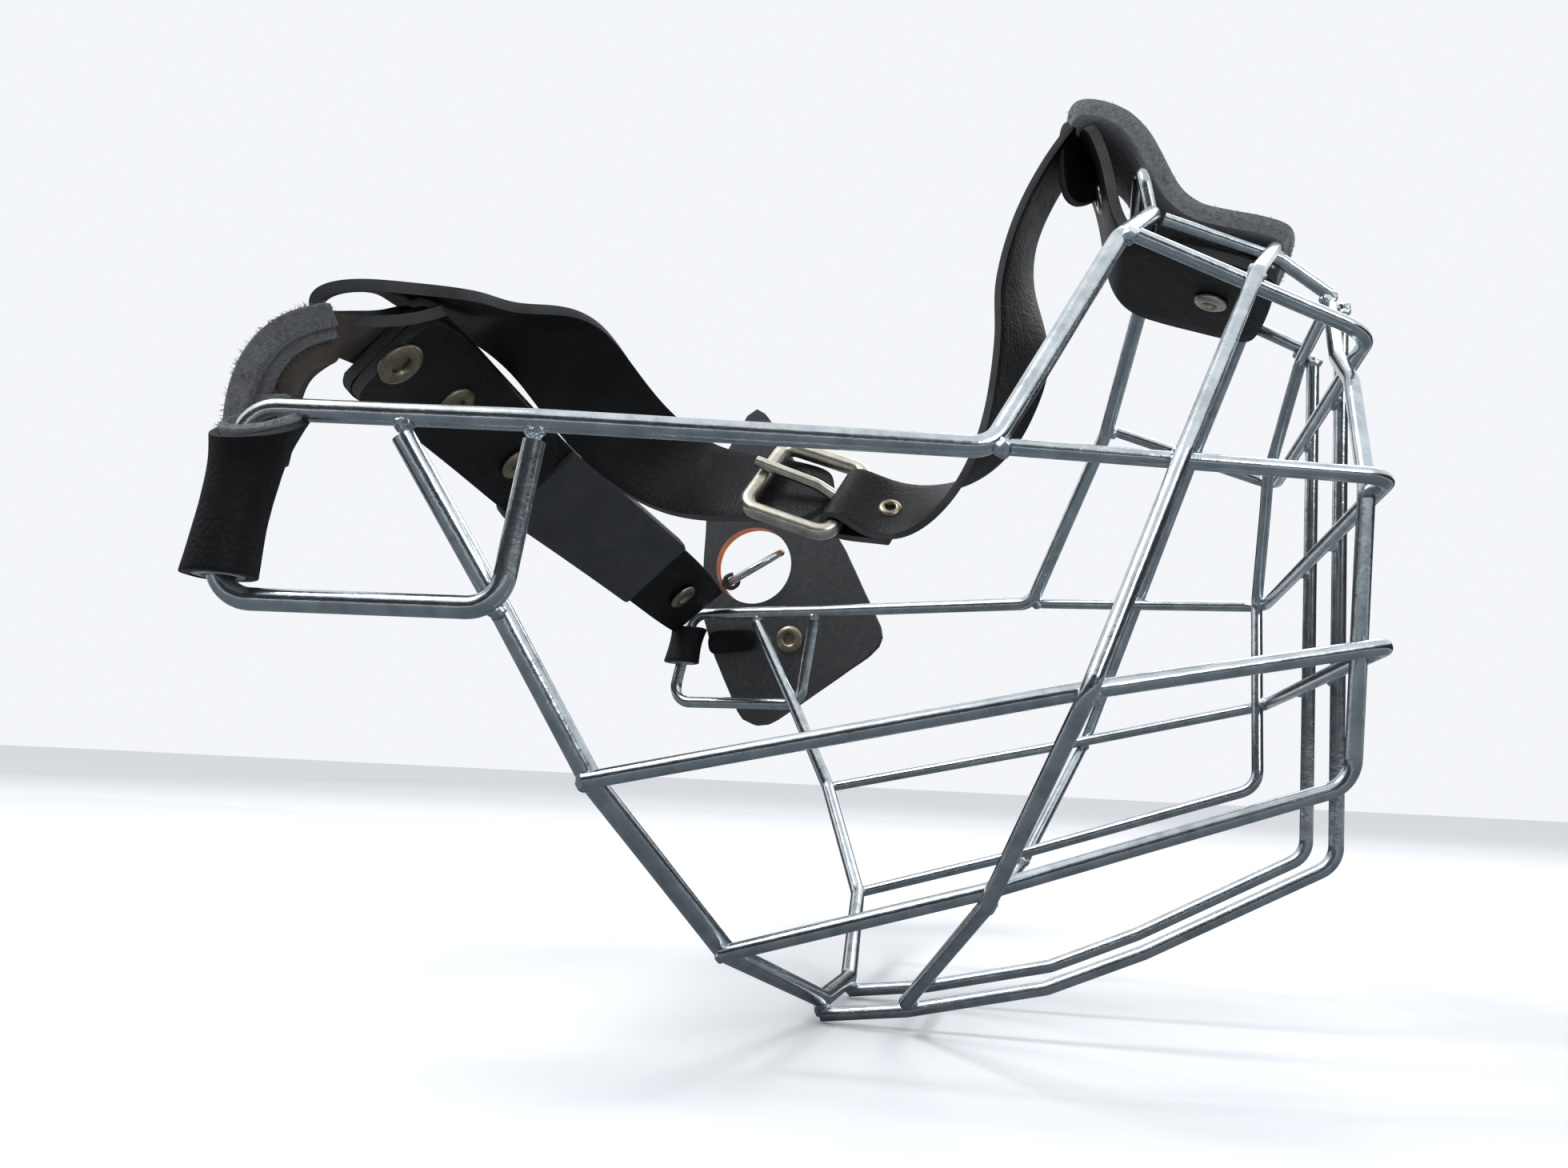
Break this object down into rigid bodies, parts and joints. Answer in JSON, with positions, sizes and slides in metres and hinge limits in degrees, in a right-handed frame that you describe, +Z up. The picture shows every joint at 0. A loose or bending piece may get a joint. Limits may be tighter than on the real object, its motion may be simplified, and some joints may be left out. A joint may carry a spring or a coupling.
{
  "type": "wire basket muzzle",
  "caption": "Welded wire basket muzzle with cheek loops, a felt and leather nose pad, a leather harness with a prong buckle, and a felt-backed cheek flap with a ring.",
  "frame": {"origin": "midway between the two places where the rails meet the uprights of the basket's opening", "axes": "+X to the nose end, +Y to the wearer's left, +Z up"},
  "size_m": [0.1714, 0.2143, 0.1752],
  "materials": {
    "wire": "bright zinc plate",
    "leather": "smooth black",
    "felt": "pressed wool felt",
    "rivet": "dull nickel",
    "buckle": "pale nickel"
  },
  "bodies": {
    "basket": {"frame_wire": "wire", "jaw_wire": "wire", "nose_hoop": "wire", "upper_hoop": "wire", "lower_hoop": "wire", "front_hoop": "wire", "rib_hoop": "wire", "top_bar_left": "wire", "top_bar_right": "wire", "centre_bar_left": "wire", "centre_bar_right": "wire", "pad_loop": "wire", "weld_beads": "wire", "nose_pad_felt": "felt", "nose_pad_leather": "leather", "nose_pad_flap": "leather", "pad_rivets": "rivet", "forehead_strap": "leather", "strap_rivet": "rivet"},
    "harness": {"tab_right": "leather", "tab_rivets": "rivet", "neck_strap": "leather", "neck_lining": "leather", "neck_pad": "leather", "neck_rivets": "rivet", "buckle_strap": "leather", "cheek_flap": "leather", "flap_felt": "felt", "flap_rivet": "rivet", "flap_tab": "leather", "ring_tab": "leather"},
    "buckle": {"buckle_frame": "buckle"},
    "prong": {"buckle_prong": "buckle"},
    "ring": {"flap_ring": "wire"},
    "right_sleeve": {"sleeve_right": "leather", "sleeve_felt_right": "felt"},
    "left_sleeve": {"sleeve_left": "leather", "sleeve_felt_left": "felt"}
  },
  "joints": [
    {"name": "harness_swing", "type": "hinge", "parent": "basket", "child": "harness", "pos_m": [-0.099, 0, -0.002], "axis": [0, -1, 0], "range_deg": [0, 15], "deforming": ["forehead_strap", "strap_rivet"]},
    {"name": "buckle_turn", "type": "hinge", "parent": "harness", "child": "buckle", "pos_m": [-0.0336, -0.0018, 0.009], "axis": [0.267, 0.5781, 0.7711], "range_deg": [0, 12]},
    {"name": "prong_turn", "type": "hinge", "parent": "buckle", "child": "prong", "pos_m": [-0.0336, -0.0018, 0.009], "axis": [0.267, 0.5781, 0.7711], "range_deg": [0, 45]},
    {"name": "ring_swing", "type": "hinge", "parent": "harness", "child": "ring", "pos_m": [-0.08939, 0.10359, 0.01101], "axis": [-0.1496, 0.9567, 0.2495], "range_deg": [-20, 20]},
    {"name": "right_sleeve_turn", "type": "hinge", "parent": "basket", "child": "right_sleeve", "pos_m": [-0.1006, -0.096, -0.013], "axis": [0.159, -0.0757, 0.9844], "range_deg": [-15, 15]},
    {"name": "left_sleeve_turn", "type": "hinge", "parent": "basket", "child": "left_sleeve", "pos_m": [-0.1006, 0.096, -0.013], "axis": [0.159, 0.0757, 0.9844], "range_deg": [-15, 15]}
  ]
}
